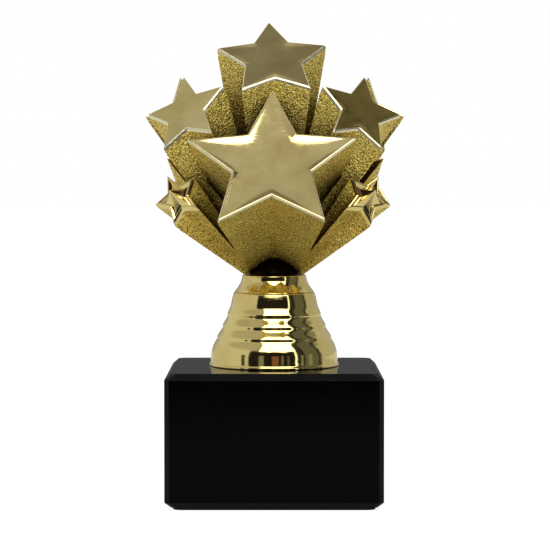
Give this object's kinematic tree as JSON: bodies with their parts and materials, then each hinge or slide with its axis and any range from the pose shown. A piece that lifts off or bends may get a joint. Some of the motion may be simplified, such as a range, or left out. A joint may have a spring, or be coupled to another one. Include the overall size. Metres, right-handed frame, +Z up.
{
  "type": "star trophy",
  "caption": "Free-standing award: a burst of gold five-pointed stars on tapered rays above a wavy gold bell riser, bolted down onto a square black marble block.",
  "frame": {"origin": "on the surface that the trophy stands on, under the middle of the block", "axes": "+Z up, front of the trophy towards -Y, +X to the right of someone facing it"},
  "size_m": [0.0806, 0.0782, 0.1474],
  "materials": {
    "felt": "black pressed felt, matt",
    "marble": "black marble, ground and polished, edges chamfered by hand",
    "fixings": "bright zinc plate",
    "riser_gold": "mirror gold plating on moulded plastic",
    "foot_gold": "mirror gold plating",
    "ray_gold": "gold plating over a sand-textured surface, ridges polished",
    "star_gold": "smooth polished gold plating with fine scratches",
    "gem_gold": "mirror gold plating on facets"
  },
  "bodies": {
    "root": {"felt_pad": "felt", "marble_base": "marble", "base_bolt": "fixings", "spring_washer": "fixings", "base_washer": "fixings", "riser_bell": "riser_gold", "captive_nut": "fixings", "figure_foot": "foot_gold", "hub_core": "ray_gold", "ray_front": "ray_gold", "star_front": "star_gold", "ray_back": "ray_gold", "star_back": "star_gold", "ray_upper_left": "ray_gold", "star_upper_left": "star_gold", "ray_upper_right": "ray_gold", "star_upper_right": "star_gold", "ray_back_upper_left": "ray_gold", "star_back_upper_left": "star_gold", "ray_back_upper_right": "ray_gold", "star_back_upper_right": "star_gold", "ray_lower_left": "ray_gold", "star_lower_left": "gem_gold", "ray_lower_right": "ray_gold", "star_lower_right": "gem_gold", "ray_back_lower_left": "ray_gold", "star_back_lower_left": "gem_gold", "ray_back_lower_right": "ray_gold", "star_back_lower_right": "gem_gold", "ray_top": "ray_gold", "star_top": "star_gold"}
  },
  "joints": []
}
